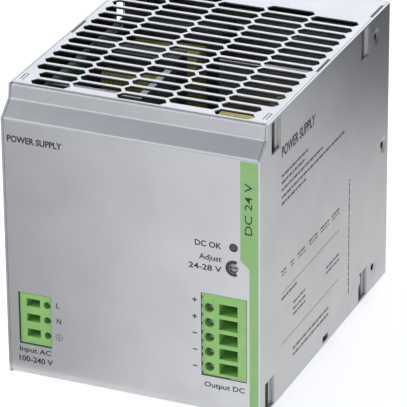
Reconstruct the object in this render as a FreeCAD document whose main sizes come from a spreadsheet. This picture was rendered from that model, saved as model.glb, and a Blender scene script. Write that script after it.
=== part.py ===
"""DIN rail power supply: sheet-metal housing, two upright boards, plug-in terminals and a rail foot.

Everything is drawn in a working frame whose front face lies at y = 0, with the width centred on
x = 0 and the underside at z = 0.  Each finished sub-part is then moved forward by half of the
overall depth, so the kept origin is the centre of the underside.  All sizes are millimetres.
"""
import FreeCAD, Part

import math
import os
import re

import Sketcher

doc = FreeCAD.newDocument("din_rail_power_supply")
sheet = doc.addObject("Spreadsheet::Sheet", "size")

# ---------------------------------------------------------------- driving sizes
SIZES = {
    # housing
    "body_width": 115.0,
    "body_height": 130.0,
    "body_depth": 149.5,
    "sheet_gauge": 1.0,
    "sheet_gap": 0.15,
    "bend_radius": 0.8,
    "slope_drop": 12.6,
    "slope_rise": 6.2,
    "slope_depth": 7.5,
    "strip_lean": 1.0,
    "rear_flange": 12.0,
    "flange_inset": 6.0,
    # ventilation slots
    "vent_side_margin": 3.75,
    "vent_front_margin": 9.725,
    "vent_rear_margin": 26.525,
    "vent_columns": 5,
    "vent_rows": 15,
    "vent_web": 1.75,
    "vent_tip": 1.9,
    "vent_interlock": 0.74,
    "vent_corner_cut": 4.4,
    "tongue_slit": 0.4,
    "tongue_length": 6.5,
    "tongue_width": 1.8,
    "tongue_inset": 1.6,
    "tongue_front": 13.0,
    # windows and hooks in the side sheets
    "window_length": 9.8,
    "window_top_height": 15.0,
    "window_foot_height": 13.3,
    "window_front_top": 12.0,
    "window_front_foot": 5.2,
    "window_rear": 113.6,
    "window_edge": 0.9,
    "hook_plate_length": 9.0,
    "hook_overlap": 3.6,
    "edge_tab_reach": 2.2,
    "edge_tab_front": 66.0,
    "edge_tab_rear": 129.5,
    "edge_tab_length": 14.0,
    "drain_slot_length": 6.0,
    "drain_slot_height": 2.7,
    "drain_slot_edge": 1.5,
    "drain_slot_front": 70.5,
    # threaded collars in the side sheets
    "thread_radius": 1.65,
    "collar_radius": 2.9,
    "collar_depth": 2.0,
    "dimple_radius": 3.9,
    "dimple_depth": 0.6,
    "side_hole_back": 17.5,
    "side_hole_back_middle": 7.5,
    "side_hole_edge": 9.8,
    # front openings
    "led_edge": 11.7,
    "led_height": 77.2,
    "led_hole_radius": 1.9,
    "trim_height": 67.8,
    "trim_hole_radius": 2.0,
    "output_edge": 5.95,
    "output_poles": 5,
    "output_bottom": 16.1,
    "input_edge": 5.4,
    "input_poles": 3,
    "input_bottom": 14.5,
    # terminals
    "plug_gap": 0.45,
    "plug_recess": 0.6,
    "plug_depth": 19.0,
    "header_seat": 0.2,
    "header_depth": 8.0,
    "header_wall": 1.2,
    "header_hood": 9.0,
    "pin_radius": 0.7,
    "pin_socket_gap": 0.3,
    "pin_reach": 5.0,
    "pin_bend": 1.3,
    "entry_depth": 12.0,
    "jaw_thick": 1.6,
    "jaw_depth": 3.2,
    "jaw_gap": 0.15,
    "screw_recess": 2.4,
    "screw_head_depth": 2.0,
    "screw_length": 10.0,
    "screw_slot_width": 0.6,
    "screw_slot_depth": 0.7,
    "screw_side_gap": 0.3,
    "screw_bore_spare": 1.4,
    "output_pitch": 6.83,
    "output_first": 4.2,
    "output_last": 6.78,
    "output_screw_from_edge": 16.95,
    "output_screw_margin": 3.4,
    "output_bore_radius": 2.1,
    "output_entry_near": 4.35,
    "output_entry_far": 12.55,
    "output_entry_height": 5.0,
    "input_pitch": 7.1,
    "input_first": 5.5,
    "input_last": 4.6,
    "input_screw_from_edge": 12.95,
    "input_screw_margin": 2.05,
    "input_bore_radius": 1.6,
    "input_entry_near": 3.5,
    "input_entry_far": 9.7,
    "input_entry_height": 3.6,
    # boards
    "board_thick": 1.6,
    "board_gap": 2.5,
    "board_front": 3.0,
    "board_rear": 9.0,
    "board_bottom": 5.0,
    "board_top": 1.5,
    "spacer_radius": 3.0,
    "board_hole_front": 28.0,
    "board_hole_low_inset": 25.0,
    "board_hole_high_inset": 5.0,
    "board_hole_low_rise": 5.0,
    "board_hole_high_drop": 16.0,
    "fastener_radius": 1.5,
    "fastener_head_radius": 2.75,
    "fastener_head_depth": 1.6,
    "fastener_slot": 0.8,
    "fastener_clear": 0.1,
    "cover_screw_length": 3.5,
    "film_thick": 0.3,
    "film_margin": 2.0,
    # parts on the primary board
    "coil_radius": 13.5,
    "coil_bore_radius": 7.0,
    "coil_thick": 10.0,
    "coil_front": 18.5,
    "coil_height": 58.0,
    "fuse_radius": 2.6,
    "fuse_length": 20.0,
    "fuse_cap_length": 5.0,
    "fuse_cap_radius": 2.8,
    "fuse_front": 8.5,
    "fuse_bottom": 78.0,
    "fuse_clip_half_height": 1.4,
    "fuse_clip_half_width": 1.2,
    "fuse_standoff": 4.5,
    "film_cap_width": 18.0,
    "film_cap_depth": 14.0,
    "film_cap_height": 24.0,
    "film_cap_front": 13.5,
    "film_cap_bottom": 77.0,
    "disc_radius": 8.0,
    "disc_thick": 4.6,
    "disc_standoff": 6.0,
    "disc_front": 22.0,
    "disc_height": 112.0,
    "lead_radius": 0.4,
    "lead_spacing": 7.5,
    "sink_thick": 3.0,
    "sink_front": 34.0,
    "sink_reach": 43.0,
    "sink_leg": 33.0,
    "sink_bottom": 62.0,
    "sink_top": 10.0,
    "bridge_width": 30.0,
    "bridge_height": 20.0,
    "bridge_thick": 3.6,
    "bridge_standoff": 4.0,
    "bridge_rise": 12.0,
    "bridge_lead_inset": 3.0,
    "bridge_lead_pitch": 4.6,
    "power_lead_radius": 0.6,
    "switch_width": 15.8,
    "switch_height": 20.5,
    "switch_thick": 5.0,
    "switch_pitch": 19.0,
    "switch_rise": 4.0,
    "switch_standoff": 5.0,
    "switch_lead_pitch": 5.0,
    "bulk_radius": 15.0,
    "bulk_length": 45.0,
    "bulk_front": 58.0,
    "bulk_pitch": 34.0,
    "bulk_height": 28.0,
    "choke_front": 71.0,
    "choke_depth": 23.0,
    "choke_height": 32.0,
    "choke_reach": 40.0,
    "choke_top": 10.5,
    "choke_core_width": 12.0,
    "transformer_front": 100.0,
    "transformer_depth": 38.0,
    "transformer_height": 44.0,
    "transformer_reach": 47.0,
    "transformer_top": 10.0,
    "transformer_core_width": 16.0,
    "core_leg": 7.0,
    "core_centre": 12.0,
    "winding_gap": 0.5,
    "tape_corner": 3.0,
    # parts on the output board
    "ring_radius": 15.0,
    "ring_bore_radius": 8.0,
    "ring_thick": 13.0,
    "winding_wall": 1.4,
    "winding_clear": 0.15,
    "ring_standoff": 1.5,
    "ring_front": 61.0,
    "ring_height": 101.0,
    "outlet_sink_front": 84.0,
    "outlet_sink_reach": 48.0,
    "can_radius": 8.0,
    "can_length": 30.0,
    "can_front": 98.0,
    "can_bottom": 28.0,
    "can_pitch": 18.0,
    "can_count": 5,
    "bead_radius": 0.7,
    "bead_set": 3.0,
    "box_cap_width": 22.0,
    "box_cap_depth": 13.0,
    "box_cap_height": 26.0,
    "box_cap_front": 14.5,
    "box_cap_top": 4.0,
    "chip_cap_radius": 4.5,
    "chip_cap_thick": 3.0,
    "chip_cap_standoff": 2.0,
    "chip_cap_lead_spacing": 5.0,
    "chip_cap_front": 33.0,
    "chip_cap_pitch": 10.5,
    "chip_cap_height": 117.0,
    "led_radius": 1.5,
    "led_length": 5.0,
    "led_front": 14.0,
    "led_base_half_depth": 1.5,
    "led_base_half_height": 1.8,
    "pipe_radius": 1.6,
    "pipe_recess": 0.2,
    "pipe_collar_rim": 0.9,
    "pipe_collar_depth": 1.5,
    "pipe_gap": 0.2,
    "pipe_arm_depth": 2.0,
    "pipe_arm_half_height": 1.2,
    "trim_body": 9.5,
    "trim_body_depth": 5.0,
    "trim_body_front": 3.0,
    "trim_rotor_radius": 1.7,
    "trim_rotor_gap": 0.06,
    "trim_rotor_proud": 2.4,
    "trim_rotor_set": 3.0,
    "trim_slot": 0.6,
    "trim_slot_depth": 0.8,
    # link cables between the boards
    "link_count": 4,
    "link_radius": 1.3,
    "link_pitch": 4.0,
    "link_front": 128.0,
    "link_bottom": 22.0,
    # rail foot
    "rail_width": 35.0,
    "rail_centre": 65.0,
    "rail_gap": 0.3,
    "rail_slot": 1.4,
    "lip_thick": 1.6,
    "lip_reach": 3.0,
    "foot_width": 34.0,
    "foot_height": 107.0,
    "foot_thick": 3.0,
    "hook_root": 5.0,
    "latch_root": 4.0,
    "foot_hole_radius": 2.15,
    "foot_holes_wide": 25.0,
    "foot_holes_high": 80.0,
    "foot_screw_radius": 2.0,
    "foot_screw_head": 3.6,
    "foot_screw_length": 8.0,
    "foot_screw_set": 0.25,
    "foot_sink_depth": 1.6,
    "foot_head_depth": 1.5,
    "foot_slot_depth": 0.7,
    "foot_slot_half_length": 2.6,
    "foot_slot_half_width": 0.4,
    "latch_width": 17.0,
    "latch_thick": 1.8,
    "latch_gap": 0.1,
    "latch_travel": 4.0,
    "latch_bottom": 5.5,
    "latch_tab_width": 11.0,
    "latch_tab_height": 9.0,
    "latch_slot_width": 5.0,
    "latch_slot_height": 2.5,
    "latch_slot_rise": 2.5,
    "keeper_clear": 0.7,
    "keeper_height": 7.5,
    "keeper_foot": 4.0,
    "spring_radius": 0.95,
    "spring_wire": 0.2,
    "spring_end_gap": 0.05,
    "spring_turns": 9,
    "spring_length": 17.5,
    "spring_drop": 1.7,
    "spring_window_width": 3.2,
    "spring_peg": 2.0,
}


def fill_sheet():
    """Write every driving size as a plain number with its alias."""
    for row, (alias, value) in enumerate(SIZES.items(), start=1):
        sheet.set(f"A{row}", alias)
        sheet.set(f"B{row}", str(value))
        sheet.setAlias(f"B{row}", alias)
    doc.recompute()


fill_sheet()

# ---------------------------------------------------------------- places worked out from the sizes
SIDE = "(body_width / 2)"
INNER = "(body_width / 2 - sheet_gauge)"
BACK_INNER = "(body_depth - sheet_gauge)"
COVER_SIDE = f"({INNER} - sheet_gap)"
COVER_BACK = f"({BACK_INNER} - sheet_gap)"
SLOPE_LOW = "(body_height - slope_drop)"
SLOPE_HIGH = "(body_height - slope_drop + slope_rise)"
STRIP_TOP = "(slope_depth + strip_lean)"
VENT_COLUMN = "((body_width - 2 * vent_side_margin) / vent_columns)"
VENT_ROW = "((body_depth - vent_front_margin - vent_rear_margin) / vent_rows)"
RAIL_PLANE = "(body_depth + foot_thick)"
LIP_FRONT = f"({RAIL_PLANE} + rail_slot)"
OVERALL_DEPTH = f"({LIP_FRONT} + lip_thick)"
BOARD_FACE = f"({INNER} - board_gap - board_thick)"
BOARD_BACK = "(body_depth - board_rear)"
BOARD_TOP = f"({SLOPE_LOW} - board_top)"
RAIL_HIGH = "(rail_centre + rail_width / 2)"
RAIL_LOW = "(rail_centre - rail_width / 2)"
LED_X = f"({SIDE} - led_edge)"
LATCH_TOP = f"({RAIL_LOW} - rail_gap)"
LATCH_HOOK_LOW = f"({LATCH_TOP} - latch_root)"
KEEPER_TOP = f"({LATCH_HOOK_LOW} - latch_travel - keeper_clear)"
SPRING_TOP = f"({LATCH_HOOK_LOW} - spring_drop)"
SPRING_LOW = f"({SPRING_TOP} - spring_length)"
CUT_SPARE = "1"

ALONG = {
    "x": FreeCAD.Rotation(FreeCAD.Vector(0, 1, 0), 90),
    "y": FreeCAD.Rotation(FreeCAD.Vector(1, 0, 0), -90),
    "z": FreeCAD.Rotation(),
}
LEFT = -1
RIGHT = 1
subparts = []
own_y = {}


# ---------------------------------------------------------------- modelling helpers
def formula(text):
    """Turn a readable formula into one that reads its words from the sheet."""
    return re.sub(r"[a-z]\w+", lambda word: "size." + word.group(), str(text))


def bind(item, **formulas):
    """Tie properties of an object to the sheet; a double underscore stands for a dot."""
    for name, text in formulas.items():
        item.setExpression(name.replace("__", "."), formula(text))
    return item


def number(alias):
    """Read one value of the sheet, for counts and loops."""
    return float(sheet.get(alias))


def finish(label, item):
    """Name a finished sub-part and move it into the kept frame."""
    item.Label = label
    bind(item, Placement__Base__y=f"({own_y.get(item.Name, '0')}) - {OVERALL_DEPTH} / 2")
    subparts.append(item)
    return item


def block(x_span, y_span, z_span, name="block"):
    """Rectangular block between two low and high formulas on each axis."""
    item = doc.addObject("Part::Box", name)
    own_y[item.Name] = y_span[0]
    bind(
        item,
        Length=f"({x_span[1]}) - ({x_span[0]})",
        Width=f"({y_span[1]}) - ({y_span[0]})",
        Height=f"({z_span[1]}) - ({z_span[0]})",
        Placement__Base__x=x_span[0],
        Placement__Base__y=y_span[0],
        Placement__Base__z=z_span[0],
    )
    return item


def place(item, axis, start):
    """Point an object's own Z axis along the named axis and set its start point."""
    item.Placement = FreeCAD.Placement(FreeCAD.Vector(), ALONG[axis])
    own_y[item.Name] = start[1]
    bind(
        item,
        Placement__Base__x=start[0],
        Placement__Base__y=start[1],
        Placement__Base__z=start[2],
    )
    return item


def rod(axis, start, radius, length, name="rod"):
    """Round bar along an axis."""
    item = doc.addObject("Part::Cylinder", name)
    bind(item, Radius=radius, Height=length)
    return place(item, axis, start)


def taper(axis, start, radius_start, radius_end, length, name="taper"):
    """Cone frustum along an axis."""
    item = doc.addObject("Part::Cone", name)
    bind(item, Radius1=radius_start, Radius2=radius_end, Height=length)
    return place(item, axis, start)


def ring(axis, start, radius, section, name="ring", sweep=360.0, spin=0.0):
    """Torus, or a stretch of one, about an axis."""
    item = doc.addObject("Part::Torus", name)
    item.Angle3 = sweep
    bind(item, Radius1=radius, Radius2=section)
    place(item, axis, start)
    turn = FreeCAD.Rotation(FreeCAD.Vector(0, 0, 1), spin)
    item.Placement.Rotation = ALONG[axis].multiply(turn)
    return item


def join(items, name="joined"):
    """One solid from touching pieces."""
    if len(items) == 1:
        return items[0]
    item = doc.addObject("Part::MultiFuse", name)
    item.Shapes = items
    return item


def group(items, name="group"):
    """Separate solids kept together in one node."""
    item = doc.addObject("Part::Compound", name)
    item.Links = items
    return item


def cut(base, tools, name="cut"):
    """Take the tools away from the base."""
    item = doc.addObject("Part::Cut", name)
    item.Base = base
    item.Tool = join(tools, name + "_tools")
    return item


def origin_plane(body, role):
    """One of a body's own origin planes."""
    return next(plane for plane in body.Origin.OriginFeatures if plane.Role == role)


def outline(body, role, loops, offset="0"):
    """Sketch of closed polygons, every corner tied to the sheet by its two formulas."""
    sketch = body.newObject("Sketcher::SketchObject", "outline")
    sketch.AttachmentSupport = [(origin_plane(body, role), "")]
    sketch.MapMode = "FlatFace"
    bind(sketch, AttachmentOffset__Base__z=offset)
    for corners in loops:
        first = sketch.GeometryCount
        count = len(corners)
        points = [
            FreeCAD.Vector(math.cos(2 * math.pi * k / count), math.sin(2 * math.pi * k / count), 0)
            for k in range(count)
        ]
        for k in range(count):
            sketch.addGeometry(Part.LineSegment(points[k], points[(k + 1) % count]))
        for k in range(count):
            following = first + (k + 1) % count
            sketch.addConstraint(Sketcher.Constraint("Coincident", first + k, 2, following, 1))
        for k, corner in enumerate(corners):
            across_pair = ("DistanceX", points[k].x, corner[0])
            up_pair = ("DistanceY", points[k].y, corner[1])
            for kind, start, text in (across_pair, up_pair):
                index = sketch.addConstraint(Sketcher.Constraint(kind, -1, 1, first + k, 1, start))
                sketch.setExpression(f"Constraints[{index}]", formula(text))
    return sketch


def pad(body, sketch, length, midplane=False):
    """Raise a sketch into a solid."""
    item = body.newObject("PartDesign::Pad", "pad")
    item.Profile = sketch
    item.SideType = "Symmetric" if midplane else "One side"
    bind(item, Length=length)
    body.Tip = item
    doc.recompute()
    return item


def pocket(body, sketch, length, flipped=False, midplane=False):
    """Cut a sketch into the body and make sure that material was removed."""
    before = body.Shape.Volume
    item = body.newObject("PartDesign::Pocket", "pocket")
    item.Profile = sketch
    item.SideType = "Symmetric" if midplane else "One side"
    item.Reversed = flipped
    bind(item, Length=length)
    body.Tip = item
    doc.recompute()
    if not body.Shape.Volume < before - 1e-6:
        raise RuntimeError(f"a pocket of {body.Label} removed nothing")
    return item


def repeat(body, feature, pitch, count):
    """Repeat a feature along the Y axis of its sketch."""
    item = body.newObject("PartDesign::LinearPattern", "rows")
    item.Originals = [feature]
    item.Direction = (feature.Profile[0], ["V_Axis"])
    bind(item, Length=f"({pitch}) * ({count} - 1)", Occurrences=count)
    body.Tip = item
    doc.recompute()
    return item


def round_edges(body, radius, chosen):
    """Fillet the edges for which chosen(edge) is true."""
    base = body.Tip
    names = [f"Edge{k}" for k, edge in enumerate(base.Shape.Edges, start=1) if chosen(edge)]
    item = body.newObject("PartDesign::Fillet", "bend")
    item.Base = (base, names)
    bind(item, Radius=radius)
    body.Tip = item
    doc.recompute()
    return item


def span(side, near, far):
    """Low and high x of a stretch measured inwards from one side of the housing."""
    if side == RIGHT:
        return (f"({SIDE} - ({far}))", f"({SIDE} - ({near}))")
    return (f"(({near}) - {SIDE})", f"(({far}) - {SIDE})")


def across(side, distance):
    """x of a point measured inwards from one side of the housing."""
    return f"({side} * ({SIDE} - ({distance})))"


def on_board(side, near, far):
    """Low and high x of a stretch measured inwards from a board's inner face."""
    if side == RIGHT:
        return (f"({BOARD_FACE} - ({far}))", f"({BOARD_FACE} - ({near}))")
    return (f"(({near}) - {BOARD_FACE})", f"(({far}) - {BOARD_FACE})")


# ---------------------------------------------------------------- housing
def front_corners(out):
    """Corners of the space in front of the sloping front edge, reaching out past the sheet."""
    return [
        (f"-{out}", SLOPE_LOW),
        ("0", SLOPE_LOW),
        ("slope_depth", SLOPE_HIGH),
        (STRIP_TOP, "body_height"),
        (STRIP_TOP, f"body_height + {out}"),
        (f"-{out}", f"body_height + {out}"),
    ]


def is_line_along(edge, axis):
    """True for a straight edge along one axis (0, 1 or 2)."""
    if not isinstance(edge.Curve, Part.Line):
        return False
    return abs(abs(edge.tangentAt(edge.FirstParameter)[axis]) - 1) < 1e-6


def side_window_spans():
    """y and z spans of the four latch windows of one side sheet."""
    top = ("body_height - window_top_height", "body_height - window_edge")
    foot = ("window_edge", "window_edge + window_foot_height")
    front_top = ("window_front_top", "window_front_top + window_length")
    front_foot = ("window_front_foot", "window_front_foot + window_length")
    rear = ("window_rear", "window_rear + window_length")
    return [(front_top, top), (rear, top), (front_foot, foot), (rear, foot)]


def side_hole_places():
    """y and z of the threaded holes of one side sheet."""
    rear = "body_depth - side_hole_back"
    return [
        (rear, "body_height - side_hole_edge"),
        ("body_depth - side_hole_back_middle", "rail_centre"),
        (rear, "side_hole_edge"),
    ]


def foot_hole_places():
    """x and z of the four holes that hold the rail foot."""
    places = []
    for x_sign in (-1, 1):
        for z_sign in (-1, 1):
            x = f"{x_sign} * foot_holes_wide / 2"
            z = f"rail_centre + {z_sign} * foot_holes_high / 2"
            places.append((x, z))
    return places


def cover_screw_places():
    """x and z of the screws that hold the cover's rear flanges to the back sheet."""
    places = []
    for x_sign in (-1, 1):
        x = f"{x_sign} * ({INNER} - 2 * flange_inset)"
        places.append((x, "body_height - sheet_gauge - rear_flange / 2"))
        places.append((x, "sheet_gauge + rear_flange / 2"))
    return places


def make_side_back_shell():
    """Left, rear and right walls bent from one sheet, with latch windows and edge tabs."""
    body = doc.addObject("PartDesign::Body", "wall_sheet")
    walls = outline(body, "XY_Plane", [[
        (f"-{SIDE}", "0"),
        (f"-{INNER}", "0"),
        (f"-{INNER}", BACK_INNER),
        (INNER, BACK_INNER),
        (INNER, "0"),
        (SIDE, "0"),
        (SIDE, "body_depth"),
        (f"-{SIDE}", "body_depth"),
    ]])
    pad(body, walls, "body_height")
    deep = number("body_depth")
    gauge = number("sheet_gauge")
    round_edges(
        body,
        "bend_radius + sheet_gauge",
        lambda edge: is_line_along(edge, 2) and abs(edge.Vertexes[0].Y - deep) < 1e-6,
    )
    round_edges(
        body,
        "bend_radius",
        lambda edge: is_line_along(edge, 2) and abs(edge.Vertexes[0].Y - deep + gauge) < 1e-6,
    )
    slope = outline(body, "YZ_Plane", [front_corners("2 * sheet_gauge")])
    pocket(body, slope, "body_width + 4 * sheet_gauge", midplane=True)
    windows = [
        [(y[0], z[0]), (y[1], z[0]), (y[1], z[1]), (y[0], z[1])]
        for y, z in side_window_spans()
    ]
    drain = ("drain_slot_front", "drain_slot_front + drain_slot_length")
    drain_top = "drain_slot_edge + drain_slot_height"
    windows.append([
        (drain[0], "drain_slot_edge"),
        (drain[1], "drain_slot_edge"),
        (drain[1], drain_top),
        (drain[0], drain_top),
    ])
    pocket(body, outline(body, "YZ_Plane", windows), "body_width + 4 * sheet_gauge", midplane=True)

    added = [body]
    holes = []
    for side in (LEFT, RIGHT):
        for start in ("edge_tab_front", "edge_tab_rear"):
            added.append(block(
                span(side, "0", "edge_tab_reach"),
                (start, f"{start} + edge_tab_length"),
                ("body_height - sheet_gauge", "body_height"),
            ))
        for y, z in side_hole_places():
            low = span(side, "0", "collar_depth")[0]
            added.append(rod("x", (low, y, z), "collar_radius", "collar_depth"))
            holes.append(rod("x", (low, y, z), "thread_radius", "collar_depth"))
            wide, tight = ("dimple_radius", "thread_radius")
            if side == RIGHT:
                wide, tight = (tight, wide)
            rim = span(side, "0", "dimple_depth")[0]
            holes.append(taper("x", (rim, y, z), wide, tight, "dimple_depth"))
    for x, z in foot_hole_places():
        start = (x, BACK_INNER, z)
        holes.append(rod("y", start, "foot_screw_radius + fastener_clear", "sheet_gauge"))
    for x, z in cover_screw_places():
        start = (x, BACK_INNER, z)
        holes.append(rod("y", start, "fastener_radius + fastener_clear", "sheet_gauge"))
    finish("side_back_shell", cut(join(added), holes))


def slot_corners(x, y, cut_left="0", cut_right="0"):
    """Long six-sided slot with pointed ends, optionally shortened at one end."""
    tip = f"(({VENT_COLUMN} + vent_interlock) / 2)"
    shoulder = f"({tip} - vent_tip)"
    half = f"(({VENT_ROW} - vent_web) / 2)"
    return [
        (f"{x} - {tip} + {cut_left}", y),
        (f"{x} - {shoulder} + {cut_left}", f"{y} - {half}"),
        (f"{x} + {shoulder} - {cut_right}", f"{y} - {half}"),
        (f"{x} + {tip} - {cut_right}", y),
        (f"{x} + {shoulder} - {cut_right}", f"{y} + {half}"),
        (f"{x} - {shoulder} + {cut_left}", f"{y} + {half}"),
    ]


def cut_vents(body):
    """Staggered slots through the top and the underside, for the air that rises through."""
    first = f"(vent_front_margin + {VENT_ROW} / 2)"
    outer = f"(2 * {VENT_COLUMN})"
    inner_slots = [
        slot_corners(f"-{VENT_COLUMN}", f"({first} + {VENT_ROW} / 2)"),
        slot_corners("0", first),
        slot_corners(VENT_COLUMN, f"({first} + {VENT_ROW} / 2)"),
    ]
    third = f"({first} + 2 * {VENT_ROW})"
    outer_slots = [slot_corners(f"-{outer}", third), slot_corners(outer, third)]
    short_slots = [
        slot_corners(f"-{outer}", first, cut_left="vent_corner_cut"),
        slot_corners(outer, first, cut_right="vent_corner_cut"),
    ]
    runs = [(inner_slots, "vent_rows"), (outer_slots, "vent_rows - 2"), (short_slots, "2")]
    above = "(body_height + sheet_gauge)"
    for slots, rows in runs:
        cutter = pocket(body, outline(body, "XY_Plane", slots, above), f"{above} + sheet_gauge")
        repeat(body, cutter, VENT_ROW, rows)


def make_front_top_cover():
    """Front, slope, top and underside bent from one sheet, with vents and panel openings."""
    body = doc.addObject("PartDesign::Body", "cover_sheet")
    outer = [
        (COVER_BACK, "0"),
        ("0", "0"),
        ("0", SLOPE_LOW),
        ("slope_depth", SLOPE_HIGH),
        (STRIP_TOP, "body_height"),
        (COVER_BACK, "body_height"),
    ]
    width = f"2 * {COVER_SIDE}"
    pad(body, outline(body, "YZ_Plane", [outer]), width, midplane=True)
    round_edges(
        body,
        "bend_radius + sheet_gauge",
        lambda edge: is_line_along(edge, 0) and edge.Vertexes[0].Y < number("slope_depth") + 2,
    )
    solid = body.Tip
    hollow = body.newObject("PartDesign::Thickness", "bent_sheet")
    side = number("body_width") / 2 - number("sheet_gauge") - number("sheet_gap")
    rear = number("body_depth") - number("sheet_gauge") - number("sheet_gap")
    open_faces = []
    for index, face in enumerate(solid.Shape.Faces, start=1):
        centre = face.CenterOfMass
        if abs(abs(centre.x) - side) < 1e-4 or abs(centre.y - rear) < 1e-4:
            open_faces.append(f"Face{index}")
    hollow.Base = (solid, open_faces)
    hollow.Reversed = True
    bind(hollow, Value="sheet_gauge")
    body.Tip = hollow
    doc.recompute()

    panel = [
        panel_hole(RIGHT, "output"),
        panel_hole(LEFT, "input"),
    ]
    cutter = outline(body, "XZ_Plane", panel)
    pocket(body, cutter, "8 * sheet_gauge", midplane=True)
    cut_vents(body)

    added = [body]
    top = "body_height - sheet_gauge"
    flange = (f"{COVER_BACK} - sheet_gauge", COVER_BACK)
    flange_x = (f"-({INNER} - flange_inset)", f"{INNER} - flange_inset")
    added.append(block(flange_x, flange, (f"{top} - rear_flange", top)))
    added.append(block(flange_x, flange, ("sheet_gauge", "sheet_gauge + rear_flange")))
    for side_of in (LEFT, RIGHT):
        for y, z in side_window_spans():
            hook_end = f"({y[1]}) - sheet_gap"
            plate = (f"{hook_end} - hook_overlap", f"{hook_end} - hook_overlap + hook_plate_length")
            z_low, z_high = (f"({z[0]}) - sheet_gauge", top)
            if z[0] == "window_edge":
                z_low, z_high = ("sheet_gauge", f"({z[1]}) + sheet_gauge")
            inside = span(side_of, "sheet_gauge + sheet_gap", "2 * sheet_gauge + sheet_gap")
            lip = span(side_of, "sheet_gap", "2 * sheet_gauge + sheet_gap")
            added.append(block(inside, plate, (z_low, z_high)))
            lip_z = (f"({z[0]}) + sheet_gap", f"({z[1]}) - sheet_gap")
            added.append(block(lip, (f"{hook_end} - sheet_gauge", hook_end), lip_z))

    holes = [
        rod("y", (LED_X, "-sheet_gauge", "led_height"), "led_hole_radius", "3 * sheet_gauge"),
        rod("y", (LED_X, "-sheet_gauge", "trim_height"), "trim_hole_radius", "3 * sheet_gauge"),
    ]
    for x, z in cover_screw_places():
        start = (x, f"{COVER_BACK} - 2 * sheet_gauge", z)
        holes.append(rod("y", start, "fastener_radius", "3 * sheet_gauge"))
    for side_of in (LEFT, RIGHT):
        for start in ("edge_tab_front", "edge_tab_rear"):
            holes.append(block(
                span(side_of, "0", "edge_tab_reach + sheet_gap"),
                (f"{start} - sheet_gap", f"{start} + edge_tab_length + sheet_gap"),
                ("body_height - 1.5 * sheet_gauge", "body_height + sheet_gauge"),
            ))
        holes.extend(tongue_slits(side_of))
    finish("front_top_cover", cut(join(added), holes))


def terminal_width(name):
    """Width of a terminal opening: the screws and their margin."""
    return f"({name}_screw_from_edge + {name}_screw_margin)"


def terminal_height(name):
    """Height of a terminal opening: its row of poles and the margins at both ends."""
    return f"({name}_first + ({name}_poles - 1) * {name}_pitch + {name}_last)"


def panel_hole(side, name):
    """Corners of a terminal opening in the front sheet."""
    x_low, x_high = span(side, f"{name}_edge", f"{name}_edge + {terminal_width(name)}")
    z_low, z_high = (f"{name}_bottom", f"{name}_bottom + {terminal_height(name)}")
    return [(x_low, z_low), (x_high, z_low), (x_high, z_high), (x_low, z_high)]


def tongue_slits(side):
    """Three slits that free a small tongue near a front corner of the top."""
    through = ("body_height - 2 * sheet_gauge", "body_height + sheet_gauge")
    near = "sheet_gauge + tongue_inset"
    far = f"{near} + tongue_width"
    rows = ("tongue_front", "tongue_front + tongue_length")
    end = (f"{rows[1]} - tongue_slit", rows[1])
    return [
        block(span(side, near, f"{near} + tongue_slit"), rows, through),
        block(span(side, f"{far} - tongue_slit", far), rows, through),
        block(span(side, near, far), end, through),
    ]


def make_cover_screws():
    """Screws through the back sheet into the cover's flanges."""
    screws = []
    for x, z in cover_screw_places():
        screws.append(button_screw("y", (x, "body_depth", z), "cover_screw_length", inward="-"))
    finish("cover_screws", group(screws))


def button_screw(axis, start, shank, inward):
    """Screw with a round head that starts at a surface; inward is the sign of its shank."""
    x, y, z = start
    offsets = {"x": (1, 0, 0), "y": (0, 1, 0)}[axis]
    head_shift = "0" if inward == "-" else "-fastener_head_depth"
    slot_shift = "fastener_head_depth - fastener_slot" if inward == "-" else "-fastener_head_depth"
    shank_shift = f"-({shank})" if inward == "-" else "0"

    def moved(shift):
        return tuple(
            f"({value}) + {used} * ({shift})" for value, used in zip((x, y, z), offsets)
        )

    head = rod(axis, moved(head_shift), "fastener_head_radius", "fastener_head_depth")
    bar = rod(axis, moved(shank_shift), "fastener_radius - fastener_clear / 2", shank)
    slot_start = moved(slot_shift)
    long_way = ("-fastener_head_radius", "fastener_head_radius")
    spans = []
    for index, used in enumerate(offsets):
        low, high = (("0", "fastener_slot") if used else long_way)
        if index == 2:
            low, high = ("-fastener_slot / 2", "fastener_slot / 2")
        spans.append((f"{slot_start[index]} + {low}", f"{slot_start[index]} + {high}"))
    return cut(join([head, bar]), [block(*spans)])


# ---------------------------------------------------------------- boards
def board_hole_places():
    """y and z of the four fixing holes of a board."""
    low = "board_bottom + board_hole_low_rise"
    high = f"{BOARD_TOP} - board_hole_high_drop"
    front = "board_front + board_hole_front"
    return [
        (front, low),
        (front, high),
        (f"{BOARD_BACK} - board_hole_low_inset", low),
        (f"{BOARD_BACK} - board_hole_high_inset", high),
    ]


def make_board(side, label):
    """Upright circuit board next to a side wall."""
    plate = block(
        on_board(side, "-board_thick", "0"),
        ("board_front", BOARD_BACK),
        ("board_bottom", BOARD_TOP),
    )
    holes = []
    for y, z in board_hole_places():
        start = (on_board(side, "-board_thick", "0")[0], y, z)
        holes.append(rod("x", start, "fastener_radius + fastener_clear", "board_thick"))
    finish(label, cut(plate, holes))


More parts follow.
